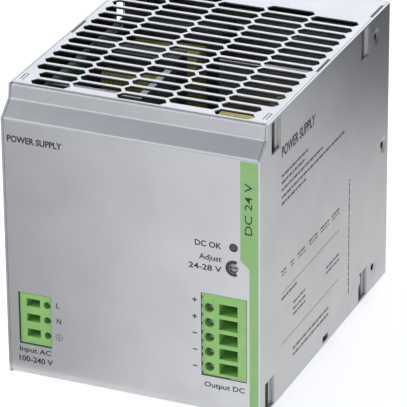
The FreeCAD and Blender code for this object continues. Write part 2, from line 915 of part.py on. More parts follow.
def make_spacers_and_screws():
    """Spacers that hold both boards off the walls, and the screws that hold the boards."""
    spacers = []
    screws = []
    for side in (LEFT, RIGHT):
        for y, z in board_hole_places():
            start = (on_board(side, "-board_thick - board_gap", "0")[0], y, z)
            if side == RIGHT:
                start = (f"({BOARD_FACE} + board_thick)", y, z)
            tube = rod("x", start, "spacer_radius", "board_gap")
            bore = rod("x", start, "fastener_radius + fastener_clear", "board_gap")
            spacers.append(cut(tube, [bore]))
            face = (BOARD_FACE if side == RIGHT else f"(-{BOARD_FACE})", y, z)
            shank = "board_thick + board_gap"
            inward = "+" if side == RIGHT else "-"
            screws.append(button_screw("x", face, shank, inward))
    finish("board_spacers", group(spacers))
    finish("board_screws", group(screws))


def make_insulation_film():
    """Thin insulating sheet between the primary board and the wall."""
    middle = f"({INNER} - board_gap / 2)"
    film = block(
        (f"-{middle}", f"-{middle} + film_thick"),
        ("board_front + film_margin", f"{BOARD_BACK} + film_margin"),
        ("board_bottom - film_margin", f"{BOARD_TOP} + film_margin"),
    )
    holes = []
    for y, z in board_hole_places():
        start = (f"-{middle}", y, z)
        holes.append(rod("x", start, "spacer_radius + fastener_clear", "film_thick"))
    finish("insulation_film", cut(film, holes))


# ---------------------------------------------------------------- terminals
def make_terminal(side, name):
    """Header on a board, its pins, and the plug with a screw, jaw and contact for each pole."""
    edge = f"{name}_edge"
    width = terminal_width(name)
    height = terminal_height(name)
    poles = int(number(f"{name}_poles"))
    plug_x = span(side, f"{edge} + plug_gap", f"{edge} + {width} - plug_gap")
    plug_y = ("plug_recess", "plug_recess + plug_depth")
    plug_z = (f"{name}_bottom + plug_gap", f"{name}_bottom + {height} - plug_gap")
    seat = "(plug_recess + plug_depth + header_seat)"
    heights = [f"({name}_bottom + {name}_first + {k} * {name}_pitch)" for k in range(poles)]
    half_entry = f"{name}_entry_height / 2"
    bore = f"{name}_bore_radius"
    screw_x = across(side, f"{edge} + {name}_screw_from_edge")
    entry_x = span(side, f"{edge} + {name}_entry_near", f"{edge} + {name}_entry_far")
    pin_x = across(side, f"{edge} + ({name}_entry_near + {name}_entry_far) / 2")
    jaw_far = f"{edge} + {name}_entry_far + jaw_gap"
    jaw_x = span(side, jaw_far, f"{jaw_far} + jaw_thick")
    jaw_y = ("plug_recess + entry_depth - jaw_depth", "plug_recess + entry_depth")
    chamber_x = span(side, f"{edge} + {name}_entry_far - jaw_gap", f"{jaw_far} + jaw_thick + jaw_gap")

    # plug
    holes = []
    for z in heights:
        entry_z = (f"{z} - {half_entry}", f"{z} + {half_entry}")
        front = f"plug_recess - {CUT_SPARE}"
        holes.append(block(entry_x, (front, "plug_recess + entry_depth"), entry_z))
        holes.append(rod("y", (screw_x, front, z), bore, "screw_recess + screw_length + screw_bore_spare"))
        chamber_y = (f"{jaw_y[0]} - jaw_gap", jaw_y[1])
        holes.append(block(chamber_x, chamber_y, entry_z))
        socket = (pin_x, f"{plug_y[1]} - pin_reach - {CUT_SPARE}", z)
        holes.append(rod("y", socket, "pin_radius + pin_socket_gap", f"pin_reach + 2 * {CUT_SPARE}"))
    body = block(plug_x, plug_y, plug_z)
    finish(f"{name}_plug", cut(body, holes))

    # screws and jaws, one pair for each pole
    for k, z in enumerate(heights, start=1):
        top = "(plug_recess + screw_recess)"
        head = rod("y", (screw_x, top, z), f"{bore} - screw_side_gap", "screw_head_depth")
        shank_top = f"({top} + screw_head_depth)"
        shank = rod("y", (screw_x, shank_top, z), f"{bore} * 0.6", "screw_length - screw_head_depth")
        slot = block(
            (f"{screw_x} - {bore}", f"{screw_x} + {bore}"),
            (f"{top} - {CUT_SPARE}", f"{top} + screw_slot_depth"),
            (f"{z} - screw_slot_width / 2", f"{z} + screw_slot_width / 2"),
        )
        finish(f"{name}_terminal_screw_{k}", cut(join([head, shank]), [slot]))
        jaw_z = (f"{z} - {half_entry} + jaw_gap", f"{z} + {half_entry} - jaw_gap")
        jaw_low = (f"{jaw_y[0]}", f"{jaw_y[1]} - jaw_gap")
        finish(f"{name}_clamp_jaw_{k}", block(jaw_x, jaw_low, jaw_z))

    # header: a block on the board with a shallow hood round the plug's rear end
    wall_near = f"{SIDE} - {BOARD_FACE}"
    hood_far = f"{edge} + {width} + plug_gap + header_wall"
    outer_x = span(side, wall_near, hood_far)
    outer_z = (f"{plug_z[0]} - plug_gap - header_wall", f"{plug_z[1]} + plug_gap + header_wall")
    inner_x = span(side, edge, f"{edge} + {width}")
    inner_z = (f"{plug_z[0]} - plug_gap", f"{plug_z[1]} + plug_gap")
    shell = block(outer_x, (f"{seat} - header_hood", f"{seat} + header_depth"), outer_z)
    hollow = block(inner_x, (f"{seat} - header_hood - {CUT_SPARE}", seat), inner_z)
    bores = [rod("y", (pin_x, seat, z), "pin_radius", "header_depth") for z in heights]
    finish(f"{name}_header", cut(shell, [hollow] + bores))
    pins = []
    pin_length = "pin_reach + header_depth + pin_bend + pin_radius"
    for z in heights:
        forward = rod("y", (pin_x, f"{seat} - pin_reach", z), "pin_radius", pin_length)
        low = f"(-{BOARD_FACE})" if side == LEFT else pin_x
        reach = f"{BOARD_FACE} - {side} * {pin_x}"
        across_y = f"{seat} + header_depth + pin_bend"
        across_pin = rod("x", (low, across_y, z), "pin_radius", reach)
        pins.append(join([forward, across_pin]))
    finish(f"{name}_header_pins", group(pins))


# ---------------------------------------------------------------- parts on the primary board
HALF_WINDING_SWEEP = 140.0
HALF_WINDING_STARTS = (20.0, 200.0)


def make_ring_choke(name, side, place_y, place_z, kind):
    """Ring core with its axis across the housing, and two open half windings that wrap its section."""
    radius, bore, thick = (f"{kind}_{word}" for word in ("radius", "bore_radius", "thick"))
    x_low = on_board(side, "ring_standoff", f"ring_standoff + {thick}")[0]
    outer = rod("x", (x_low, place_y, place_z), radius, thick)
    inner = rod("x", (x_low, place_y, place_z), bore, thick)
    finish(f"{name}_core", cut(outer, [inner]))
    halves = []
    for spin in HALF_WINDING_STARTS:
        halves.append(winding_half((x_low, place_y, place_z), (radius, bore, thick), spin))
    finish(f"{name}_winding", group(halves))


def winding_half(core_start, core_sizes, spin):
    """Stretch of a hollow ring: the wire bundle round one half of a ring core."""
    radius, bore, thick = core_sizes
    x, y, z = core_start

    def drum(grown, size, sign):
        start = (f"{x} - {grown}", y, z)
        return rod("x", start, f"{size} + {sign} * {grown}", f"{thick} + 2 * {grown}")

    outer = drum("winding_wall", radius, 1)
    outer.Angle = HALF_WINDING_SWEEP
    turn = FreeCAD.Rotation(FreeCAD.Vector(0, 0, 1), spin)
    outer.Placement.Rotation = ALONG["x"].multiply(turn)
    hole = drum("winding_wall", bore, -1)
    core_space = cut(drum("winding_clear", radius, 1), [drum("winding_clear", bore, -1)])
    return cut(cut(outer, [hole]), [core_space])


def make_fuse():
    """Ceramic tube with two end caps on short clips."""
    x = f"(fuse_standoff - {BOARD_FACE})"
    y = "fuse_front"
    tube = rod("z", (x, y, "fuse_bottom"), "fuse_radius", "fuse_length")
    parts = [tube]
    for z in ("fuse_bottom", "fuse_bottom + fuse_length - fuse_cap_length"):
        parts.append(rod("z", (x, y, z), "fuse_cap_radius", "fuse_cap_length"))
        middle = f"{z} + fuse_cap_length / 2"
        clip_y = (f"{y} - fuse_clip_half_width", f"{y} + fuse_clip_half_width")
        clip_z = (f"{middle} - fuse_clip_half_height", f"{middle} + fuse_clip_half_height")
        parts.append(block((f"-{BOARD_FACE}", x), clip_y, clip_z))
    finish("input_fuse", join(parts))


def make_line_capacitor():
    """Box-shaped film capacitor across the line."""
    case = block(
        on_board(LEFT, "0", "film_cap_width"),
        ("film_cap_front", "film_cap_front + film_cap_depth"),
        ("film_cap_bottom", "film_cap_bottom + film_cap_height"),
    )
    finish("line_capacitor", case)


def leaded_disc(side, front, height, radius, thick, standoff, spacing):
    """Round disc standing off a board on two leads."""
    low, high = on_board(side, standoff, f"{standoff} + {thick}")
    disc = rod("x", (low, front, height), radius, thick)
    parts = [disc]
    lead_low = f"-{BOARD_FACE}" if side == LEFT else high
    for sign in (-1, 1):
        start = (lead_low, f"{front} + {sign} * {spacing} / 2", f"{height} - {radius} / 2")
        parts.append(rod("x", start, "lead_radius", standoff))
    return join(parts)


def make_heat_sink(side, label, front, reach, leg):
    """Aluminium plate standing on a board, with an optional leg bent back along the housing."""
    z_span = ("sink_bottom", "body_height - sink_top")
    parts = [block(on_board(side, "0", reach), (front, f"{front} + sink_thick"), z_span)]
    if leg:
        parts.append(block(
            on_board(side, f"{reach} - sink_thick", reach),
            (front, f"{front} + sink_thick + {leg}"),
            z_span,
        ))
    finish(label, join(parts))


def make_bridge_rectifier():
    """Flat rectifier on the front of the primary heat sink, with its four leads to the board."""
    bottom = "sink_bottom + bridge_rise"
    body = block(
        on_board(LEFT, "bridge_standoff", "bridge_standoff + bridge_width"),
        ("sink_front - bridge_thick", "sink_front"),
        (bottom, f"{bottom} + bridge_height"),
    )
    parts = [body]
    for k in range(4):
        z = f"{bottom} + bridge_lead_inset + {k} * bridge_lead_pitch"
        start = (f"-{BOARD_FACE}", "sink_front - bridge_thick / 2", z)
        parts.append(rod("x", start, "power_lead_radius", "bridge_standoff"))
    finish("bridge_rectifier", join(parts))


def transistor(side, face, height):
    """Flat power package against a plate, with three leads to the board."""
    body = block(
        on_board(side, "switch_standoff", "switch_standoff + switch_height"),
        (face, f"{face} + switch_thick"),
        (height, f"{height} + switch_width"),
    )
    parts = [body]
    for k in (-1, 0, 1):
        x = on_board(side, "0", "switch_standoff")[0]
        y = f"{face} + switch_thick / 2"
        z = f"{height} + switch_width / 2 + {k} * switch_lead_pitch"
        parts.append(rod("x", (x, y, z), "power_lead_radius", "switch_standoff"))
    return join(parts)


def make_transistors():
    """Switching transistors behind the primary sink and rectifiers ahead of the output sink."""
    switches = []
    rectifiers = []
    for k in range(2):
        z = f"sink_bottom + switch_rise + {k} * switch_pitch"
        switches.append(transistor(LEFT, "sink_front + sink_thick", z))
        rectifiers.append(transistor(RIGHT, "outlet_sink_front - switch_thick", z))
    finish("switching_transistors", group(switches))
    finish("output_rectifiers", group(rectifiers))


def can(side, front, height, radius, length):
    """Electrolytic can lying across the housing, with a rolled bead near its root."""
    low, high = on_board(side, "0", length)
    body = rod("x", (low, front, height), radius, length)
    bead_x = f"{high} - bead_set" if side == RIGHT else f"{low} + bead_set"
    bead = ring("x", (bead_x, front, height), f"{radius} + bead_radius / 3", "bead_radius")
    return cut(body, [bead])


def make_capacitors():
    """Two large mains capacitors and a row of output capacitors."""
    bulk = []
    for k in range(2):
        bulk.append(can(LEFT, f"bulk_front + {k} * bulk_pitch", "bulk_height", "bulk_radius", "bulk_length"))
    finish("bulk_capacitors", group(bulk))
    cans = []
    for k in range(int(number("can_count"))):
        cans.append(can(RIGHT, "can_front", f"can_bottom + {k} * can_pitch", "can_radius", "can_length"))
    finish("output_capacitors", group(cans))


def make_wound_block(name, front, depth, height, reach, top, core_width):
    """Ferrite core pair and the taped winding round its middle leg, standing on the board."""
    z_high = f"(body_height - {top})"
    z_low = f"({z_high} - {height})"
    y_low = front
    y_high = f"({front} + {depth})"
    mid_z = f"(({z_low} + {z_high}) / 2)"
    mid_y = f"({front} + {depth} / 2)"
    core_y = (f"{mid_y} - {core_width} / 2", f"{mid_y} + {core_width} / 2")
    core = block(on_board(LEFT, "0", reach), core_y, (z_low, z_high))
    windows = []
    window_x = on_board(LEFT, "core_leg", f"{reach} - core_leg")
    for low, high in (
        (f"{z_low} + core_leg", f"{mid_z} - core_centre / 2"),
        (f"{mid_z} + core_centre / 2", f"{z_high} - core_leg"),
    ):
        windows.append(block(window_x, core_y, (low, high)))
    finish(f"{name}_core", cut(core, windows))
    coil_x = on_board(LEFT, "core_leg + winding_gap", f"{reach} - core_leg - winding_gap")
    coil_z = (f"{z_low} + core_leg + winding_gap", f"{z_high} - core_leg - winding_gap")
    taped = block(coil_x, (y_low, y_high), coil_z)
    leg = block(
        (f"{coil_x[0]} - {CUT_SPARE}", f"{coil_x[1]} + {CUT_SPARE}"),
        (f"{core_y[0]} - winding_gap", f"{core_y[1]} + winding_gap"),
        (f"{mid_z} - core_centre / 2 - winding_gap", f"{mid_z} + core_centre / 2 + winding_gap"),
    )
    taped.recompute()
    corners = [
        index for index, edge in enumerate(taped.Shape.Edges, start=1) if is_line_along(edge, 0)
    ]
    rounded = doc.addObject("Part::Fillet", f"{name}_rounded")
    rounded.Base = taped
    corner = number("tape_corner")
    rounded.Edges = [(index, corner, corner) for index in corners]
    finish(f"{name}_winding", cut(rounded, [leg]))


# ---------------------------------------------------------------- small parts on the output board
def make_box_capacitor():
    """Film capacitor near the front of the output board."""
    top = "body_height - box_cap_top - sheet_gauge"
    case = block(
        on_board(RIGHT, "0", "box_cap_width"),
        ("box_cap_front", "box_cap_front + box_cap_depth"),
        (f"{top} - box_cap_height", top),
    )
    finish("output_film_capacitor", case)


def make_indicator():
    """Light-emitting diode with its base on the board, and the light pipe to the front."""
    front = "led_front"
    lamp = rod("y", (LED_X, front, "led_height"), "led_radius", "led_length")
    base = block(
        (f"{LED_X} - led_radius", BOARD_FACE),
        (f"{front} + led_length - led_base_half_depth", f"{front} + led_length + led_base_half_depth"),
        ("led_height - led_base_half_height", "led_height + led_base_half_height"),
    )
    finish("status_led", join([lamp, base]))
    body = rod("y", (LED_X, "pipe_recess", "led_height"), "pipe_radius", f"{front} - pipe_recess - pipe_gap")
    collar_start = (LED_X, "sheet_gauge + pipe_gap", "led_height")
    collar = rod("y", collar_start, "pipe_radius + pipe_collar_rim", "pipe_collar_depth")
    arm = block(
        (LED_X, BOARD_FACE),
        (f"{front} - 2 * pipe_arm_depth", f"{front} - pipe_arm_depth"),
        ("led_height - pipe_arm_half_height", "led_height + pipe_arm_half_height"),
    )
    finish("indicator_light_pipe", join([body, collar, arm]))


def make_trimmer():
    """Voltage trimmer: a square body on the board with a slotted rotor facing the front."""
    half = "trim_body / 2"
    low_z = f"trim_height - {half}"
    back = "trim_body_front + trim_body_depth"
    case = block(
        (f"{LED_X} - {half}", BOARD_FACE),
        ("trim_body_front", back),
        (low_z, f"trim_height + {half}"),
    )
    bore_start = (LED_X, "trim_body_front", "trim_height")
    bore_depth = "trim_rotor_set + pipe_gap"
    bore = rod("y", bore_start, "trim_rotor_radius + trim_rotor_gap", bore_depth)
    finish("trimmer_body", cut(case, [bore]))
    start = "trim_body_front - trim_rotor_proud"
    rotor = rod("y", (LED_X, start, "trim_height"), "trim_rotor_radius", "trim_rotor_set + trim_rotor_proud")
    slot = block(
        (f"{LED_X} - trim_rotor_radius", f"{LED_X} + trim_rotor_radius"),
        (f"{start} - {CUT_SPARE}", f"{start} + trim_slot_depth"),
        ("trim_height - trim_slot / 2", "trim_height + trim_slot / 2"),
    )
    finish("trimmer_rotor", cut(rotor, [slot]))


def make_link_cables():
    """Insulated leads that carry power from the primary board to the output board."""
    leads = []
    for k in range(int(number("link_count"))):
        z = f"link_bottom + {k} * link_pitch"
        leads.append(rod("x", (f"-{BOARD_FACE}", "link_front", z), "link_radius", f"2 * {BOARD_FACE}"))
    finish("board_link_cables", group(leads))


# ---------------------------------------------------------------- rail foot
def make_foot_plate():
    """Aluminium plate with the fixed upper rail hook and the peg that holds the latch spring."""
    half = "foot_width / 2"
    z_span = ("rail_centre - foot_height / 2", "rail_centre + foot_height / 2")
    across_x = (f"-{half}", half)
    root = (f"{RAIL_HIGH} + rail_gap", f"{RAIL_HIGH} + rail_gap + hook_root")
    lip = (f"{RAIL_HIGH} - lip_reach", root[1])
    parts = [
        block(across_x, ("body_depth", RAIL_PLANE), z_span),
        block(across_x, (RAIL_PLANE, OVERALL_DEPTH), root),
        block(across_x, (LIP_FRONT, OVERALL_DEPTH), lip),
        block(
            ("-spring_window_width / 2 + latch_gap", "spring_window_width / 2 - latch_gap"),
            (RAIL_PLANE, f"{RAIL_PLANE} + latch_thick + 2 * latch_gap"),
            (f"{SPRING_LOW} - spring_peg", SPRING_LOW),
        ),
    ]
    holes = []
    for x, z in foot_hole_places():
        holes.append(rod("y", (x, "body_depth", z), "foot_hole_radius", "foot_thick"))
        cone_start = (x, f"{RAIL_PLANE} - foot_sink_depth", z)
        mouth = "foot_hole_radius + foot_sink_depth"
        holes.append(taper("y", cone_start, "foot_hole_radius", mouth, "foot_sink_depth"))
    finish("rail_foot_plate", cut(join(parts), holes))


def make_foot_screws():
    """Countersunk screws that hold the foot to the back sheet."""
    screws = []
    for x, z in foot_hole_places():
        length = "foot_screw_length - foot_screw_set"
        bar = rod("y", (x, f"{RAIL_PLANE} - foot_screw_length", z), "foot_screw_radius", length)
        head_start = (x, f"{RAIL_PLANE} - foot_screw_set - foot_head_depth", z)
        head_rim = "foot_screw_head - foot_screw_set"
        head = taper("y", head_start, "foot_screw_radius", head_rim, "foot_head_depth")
        slot = block(
            (f"{x} - foot_slot_half_length", f"{x} + foot_slot_half_length"),
            (f"{RAIL_PLANE} - foot_screw_set - foot_slot_depth", f"{RAIL_PLANE} + {CUT_SPARE}"),
            (f"{z} - foot_slot_half_width", f"{z} + foot_slot_half_width"),
        )
        screws.append(cut(join([bar, head]), [slot]))
    finish("rail_foot_screws", group(screws))


def make_latch():
    """Sprung slide that grips the lower edge of the rail, with a pull tab at its lower end."""
    near = f"({RAIL_PLANE} + latch_gap)"
    far = f"({near} + latch_thick)"
    half = "latch_width / 2"
    parts = [
        block((f"-{half}", half), (near, far), ("latch_bottom + latch_tab_height", LATCH_TOP)),
        block((f"-{half}", half), (near, OVERALL_DEPTH), (LATCH_HOOK_LOW, LATCH_TOP)),
        block((f"-{half}", half), (LIP_FRONT, OVERALL_DEPTH), (LATCH_HOOK_LOW, f"{RAIL_LOW} + lip_reach")),
        block(
            ("-latch_tab_width / 2", "latch_tab_width / 2"),
            (near, far),
            ("latch_bottom", "latch_bottom + latch_tab_height"),
        ),
    ]
    window = block(
        ("-spring_window_width / 2", "spring_window_width / 2"),
        (f"{near} - {CUT_SPARE}", f"{far} + {CUT_SPARE}"),
        (f"{SPRING_LOW} - spring_peg - rail_gap", SPRING_TOP),
    )
    pull = block(
        ("-latch_slot_width / 2", "latch_slot_width / 2"),
        (f"{near} - {CUT_SPARE}", f"{far} + {CUT_SPARE}"),
        ("latch_bottom + latch_slot_rise", "latch_bottom + latch_slot_rise + latch_slot_height"),
    )
    finish("rail_latch", cut(join(parts), [window, pull]))


def make_latch_keeper():
    """Strap that holds the latch against the foot plate."""
    near = RAIL_PLANE
    over = f"({RAIL_PLANE} + latch_thick + 2 * latch_gap)"
    half = "(latch_width / 2 + latch_gap)"
    outer = f"({half} + keeper_foot)"
    z_span = (f"{KEEPER_TOP} - keeper_height", KEEPER_TOP)
    strap = [
        block((f"-{outer}", outer), (over, OVERALL_DEPTH), z_span),
        block((f"-{outer}", f"-{half}"), (near, over), z_span),
        block((half, outer), (near, over), z_span),
    ]
    finish("latch_keeper", join(strap))


def make_latch_spring():
    """Coil spring between the fixed peg and the upper edge of the latch's window."""
    wire = number("spring_wire")
    radius = number("spring_radius") - wire
    turns = number("spring_turns")
    height = number("spring_length") - 2 * wire - 2 * number("spring_end_gap")
    coil_path = Part.makeHelix(height / turns, height, radius)
    profile = Part.Wire(Part.makeCircle(wire, FreeCAD.Vector(radius, 0, 0), FreeCAD.Vector(0, 1, 0)))
    spring = doc.addObject("Part::Feature", "coil_spring")
    spring.Shape = Part.Wire(coil_path.Edges).makePipeShell([profile], True, True)
    own_y[spring.Name] = f"{RAIL_PLANE} + latch_gap + latch_thick / 2"
    bind(spring, Placement__Base__z=f"{SPRING_LOW} + spring_wire + spring_end_gap")
    finish("latch_spring", spring)


# ---------------------------------------------------------------- assembly
make_side_back_shell()
make_front_top_cover()
make_cover_screws()
make_board(LEFT, "primary_board")
make_board(RIGHT, "output_board")
make_spacers_and_screws()
make_insulation_film()
make_terminal(LEFT, "input")
make_terminal(RIGHT, "output")
make_ring_choke("line_choke", LEFT, "coil_front", "coil_height", "coil")
make_ring_choke("output_choke", RIGHT, "ring_front", "ring_height", "ring")
make_fuse()
make_line_capacitor()
varistor = leaded_disc(
    LEFT, "disc_front", "disc_height", "disc_radius", "disc_thick", "disc_standoff", "lead_spacing"
)
finish("varistor", varistor)
make_heat_sink(LEFT, "primary_heat_sink", "sink_front", "sink_reach", "sink_leg")
make_heat_sink(RIGHT, "output_heat_sink", "outlet_sink_front", "outlet_sink_reach", "")
make_bridge_rectifier()
make_transistors()
make_capacitors()
make_wound_block(
    "pfc_choke", "choke_front", "choke_depth", "choke_height", "choke_reach", "choke_top", "choke_core_width"
)
make_wound_block(
    "transformer",
    "transformer_front",
    "transformer_depth",
    "transformer_height",
    "transformer_reach",
    "transformer_top",
    "transformer_core_width",
)
make_box_capacitor()
safety_discs = [
    leaded_disc(
        RIGHT,
        f"(chip_cap_front + {k} * chip_cap_pitch)",
        "chip_cap_height",
        "chip_cap_radius",
        "chip_cap_thick",
        "chip_cap_standoff",
        "chip_cap_lead_spacing",
    )
    for k in range(2)
]
finish("suppression_capacitors", group(safety_discs))
make_indicator()
make_trimmer()
make_link_cables()
make_foot_plate()
make_foot_screws()
make_latch()
make_latch_keeper()
make_latch_spring()

# ---------------------------------------------------------------- checks and export
doc.recompute()
for item in doc.Objects:
    if "Invalid" in item.State or "Error" in item.State:
        raise RuntimeError(f"{item.Name} did not recompute: {item.State}")
for item in subparts:
    if item.Shape.isNull() or not item.Shape.isValid() or not item.Shape.Solids:
        raise RuntimeError(f"{item.Label} has no valid solid")
os.makedirs("parts", exist_ok=True)
for item in subparts:
    item.Shape.exportStep(f"parts/{item.Label}.step")
print(len(subparts), "sub-parts written")
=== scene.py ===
"""Looks of the DIN rail power supply: camera, studio, materials, printing and the detailed pieces."""
import math

import bmesh
import bpy
from mathutils import Matrix, Vector


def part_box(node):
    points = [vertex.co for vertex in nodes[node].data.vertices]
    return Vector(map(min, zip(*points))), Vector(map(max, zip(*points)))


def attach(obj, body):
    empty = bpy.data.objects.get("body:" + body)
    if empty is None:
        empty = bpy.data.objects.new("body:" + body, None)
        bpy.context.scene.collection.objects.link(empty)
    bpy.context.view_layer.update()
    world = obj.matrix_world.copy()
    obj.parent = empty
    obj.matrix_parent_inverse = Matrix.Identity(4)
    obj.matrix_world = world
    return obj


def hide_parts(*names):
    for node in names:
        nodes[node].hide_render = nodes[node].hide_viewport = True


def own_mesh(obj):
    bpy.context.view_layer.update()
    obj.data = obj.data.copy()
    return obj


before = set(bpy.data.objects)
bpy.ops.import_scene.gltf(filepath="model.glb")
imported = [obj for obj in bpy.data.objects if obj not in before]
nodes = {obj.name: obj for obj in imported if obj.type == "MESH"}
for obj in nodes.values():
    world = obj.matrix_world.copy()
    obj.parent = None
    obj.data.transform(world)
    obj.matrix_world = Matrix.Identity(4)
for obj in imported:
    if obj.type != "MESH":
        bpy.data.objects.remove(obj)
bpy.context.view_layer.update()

MM = 0.001
HOUSING = "housing"
cover_low, cover_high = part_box("front_top_cover")
shell_low, shell_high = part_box("side_back_shell")
FRONT = cover_low.y
RIGHT = shell_high.x
LEFT = shell_low.x
scene = bpy.context.scene


# ---------------------------------------------------------------- camera
CAMERA_PLACE = (0.5361, -1.2488, 0.7019)
CAMERA_YAW = 23.26
CAMERA_PITCH = 25.47
CAMERA_ROLL = -0.47
CAMERA_LENS = 309.6


def make_camera():
    data = bpy.data.cameras.new("camera")
    data.lens = CAMERA_LENS
    data.sensor_width = 36.0
    camera = bpy.data.objects.new("camera", data)
    scene.collection.objects.link(camera)
    turn = Matrix.Rotation(math.radians(CAMERA_YAW), 4, "Z")
    tilt = Matrix.Rotation(math.radians(90 - CAMERA_PITCH), 4, "X")
    roll = Matrix.Rotation(math.radians(CAMERA_ROLL), 4, "Z")
    camera.matrix_world = Matrix.Translation(CAMERA_PLACE) @ turn @ tilt @ roll
    data.clip_end = 20.0
    scene.camera = camera


make_camera()


# ---------------------------------------------------------------- materials
def new_look(name, **values):
    """A node material with these values set on its Principled shader."""
    look = bpy.data.materials.new(name)
    look.use_nodes = True
    shader = look.node_tree.nodes["Principled BSDF"]
    for socket, value in values.items():
        shader.inputs[socket.replace("_", " ")].default_value = value
    return look


def shader_of(look):
    return look.node_tree.nodes["Principled BSDF"]


def grain(look, scale, stretch=(1, 1, 1), detail=4.0, kind="ShaderNodeTexNoise"):
    """A noise fixed to the piece; scale is in features per metre. Returns its value socket."""
    tree = look.node_tree
    coordinates = tree.nodes.new("ShaderNodeTexCoord")
    mapping = tree.nodes.new("ShaderNodeMapping")
    mapping.inputs["Scale"].default_value = stretch
    texture = tree.nodes.new(kind)
    texture.inputs["Scale"].default_value = scale
    if "Detail" in texture.inputs:
        texture.inputs["Detail"].default_value = detail
    tree.links.new(coordinates.outputs["Object"], mapping.inputs["Vector"])
    tree.links.new(mapping.outputs["Vector"], texture.inputs["Vector"])
    return texture.outputs["Fac"] if "Fac" in texture.outputs else texture.outputs["Distance"]


def ramp(look, value, low, high, start=0.3, end=0.7):
    """Colours between low and high as the value goes from start to end."""
    node = look.node_tree.nodes.new("ShaderNodeValToRGB")
    node.color_ramp.elements[0].position = start
    node.color_ramp.elements[1].position = end
    node.color_ramp.elements[0].color = (*low, 1)
    node.color_ramp.elements[1].color = (*high, 1)
    look.node_tree.links.new(value, node.inputs["Fac"])
    return node.outputs["Color"]


def tint(look, value, low, high, start=0.3, end=0.7):
    colour = ramp(look, value, low, high, start, end)
    look.node_tree.links.new(colour, shader_of(look).inputs["Base Color"])


def vary_roughness(look, value, low, high):
    node = look.node_tree.nodes.new("ShaderNodeMapRange")
    node.inputs["To Min"].default_value = low
    node.inputs["To Max"].default_value = high
    look.node_tree.links.new(value, node.inputs["Value"])
    look.node_tree.links.new(node.outputs["Result"], shader_of(look).inputs["Roughness"])


def bump(look, value, strength, distance):
    """Relief on the surface; distance in metres. A second call adds to the first."""
    tree = look.node_tree
    node = tree.nodes.new("ShaderNodeBump")
    node.inputs["Strength"].default_value = strength
    node.inputs["Distance"].default_value = distance
    tree.links.new(value, node.inputs["Height"])
    normal = shader_of(look).inputs["Normal"]
    if normal.is_linked:
        tree.links.new(normal.links[0].from_socket, node.inputs["Normal"])
    tree.links.new(node.outputs["Normal"], normal)


def metal(name, dark, light, rough, stretch=(1, 1, 1), grain_scale=5000, strength=0.25, shine=1.0):
    """Rolled or machined metal: cloudy tone, fine grain along the rolling direction."""
    look = new_look(name, Metallic=shine)
    cloud = grain(look, 45, detail=3)
    fine = grain(look, grain_scale, stretch, detail=2)
    tint(look, cloud, dark, light)
    vary_roughness(look, fine, rough - 0.05, rough + 0.07)
    bump(look, fine, strength, 0.00002)
    return look


def plastic(name, dark, light, rough=0.4, texture=2500, strength=0.15, **values):
    """Moulded plastic: slight tone change and a fine spark-eroded texture."""
    look = new_look(name, **values)
    tint(look, grain(look, 160, detail=5), dark, light)
    fine = grain(look, texture, detail=2)
    vary_roughness(look, fine, rough - 0.06, rough + 0.08)
    bump(look, fine, strength, 0.00003)
    return look


def layered(name, dark, light, pitch, stretch, rough=0.4, metallic=0.0):
    """Wound or laminated stuff: fine parallel layers, pitch in metres, along the stretch axis."""
    look = new_look(name, Metallic=metallic)
    layers = grain(look, 1 / pitch, stretch, detail=1)
    tint(look, layers, dark, light, 0.42, 0.58)
    vary_roughness(look, grain(look, 400), rough - 0.06, rough + 0.08)
    bump(look, layers, 0.4, 0.00008)
    return look


def paint_inside_shade(look, low, high, inside_shade):
    """Painted shade: faces inside the box from low to high, in metres, get a dark base colour that stands in
    for the shade inside the housing.
    """
    tree = look.node_tree
    middle = [(a + b) / 2 for a, b in zip(low, high)]
    coordinates = tree.nodes.new("ShaderNodeTexCoord")
    value = coordinates.outputs["Object"]
    for operation, operand in (("SUBTRACT", middle), ("ABSOLUTE", None),
                               ("DIVIDE", [(b - a) / 2 for a, b in zip(low, high)])):
        node = tree.nodes.new("ShaderNodeVectorMath")
        node.operation = operation
        tree.links.new(value, node.inputs[0])
        if operand:
            node.inputs[1].default_value = operand
        value = node.outputs["Vector"]
    parts = tree.nodes.new("ShaderNodeSeparateXYZ")
    tree.links.new(value, parts.inputs["Vector"])
    farthest = parts.outputs["X"]
    for axis in ("Y", "Z"):
        node = tree.nodes.new("ShaderNodeMath")
        node.operation = "MAXIMUM"
        tree.links.new(farthest, node.inputs[0])
        tree.links.new(parts.outputs[axis], node.inputs[1])
        farthest = node.outputs["Value"]
    inside = tree.nodes.new("ShaderNodeMath")
    inside.operation = "LESS_THAN"
    inside.inputs[1].default_value = 1.0
    tree.links.new(farthest, inside.inputs[0])
    blend = tree.nodes.new("ShaderNodeMix")
    blend.data_type = "RGBA"
    base = shader_of(look).inputs["Base Color"]
    sockets = [socket for socket in blend.inputs if socket.type == "RGBA"]
    tree.links.new(inside.outputs["Value"], blend.inputs["Factor"])
    tree.links.new(base.links[0].from_socket, sockets[0])
    sockets[1].default_value = (*inside_shade, 1)
    tree.links.new([socket for socket in blend.outputs if socket.type == "RGBA"][0], base)
    return look


def housing_sheet(name, low, high):
    look = metal(name, (0.50, 0.50, 0.51), (0.55, 0.55, 0.56), 0.36, ROLLED, 4000, 0.2, 0.9)
    # the inner faces of the sheet get painted shade, a dark base colour for the shade inside the housing
    return paint_inside_shade(look, low, high, (0.045, 0.046, 0.05))


def circuit_board_look():
    """Green solder mask over darker copper tracks."""
    look = new_look("circuit_board_mask", Coat_Weight=0.3, Coat_Roughness=0.2)
    tracks = grain(look, 330, kind="ShaderNodeTexVoronoi")
    tint(look, tracks, (0.012, 0.06, 0.024), (0.02, 0.115, 0.045), 0.25, 0.34)
    vary_roughness(look, grain(look, 900), 0.32, 0.48)
    bump(look, tracks, 0.3, 0.00004)
    return look


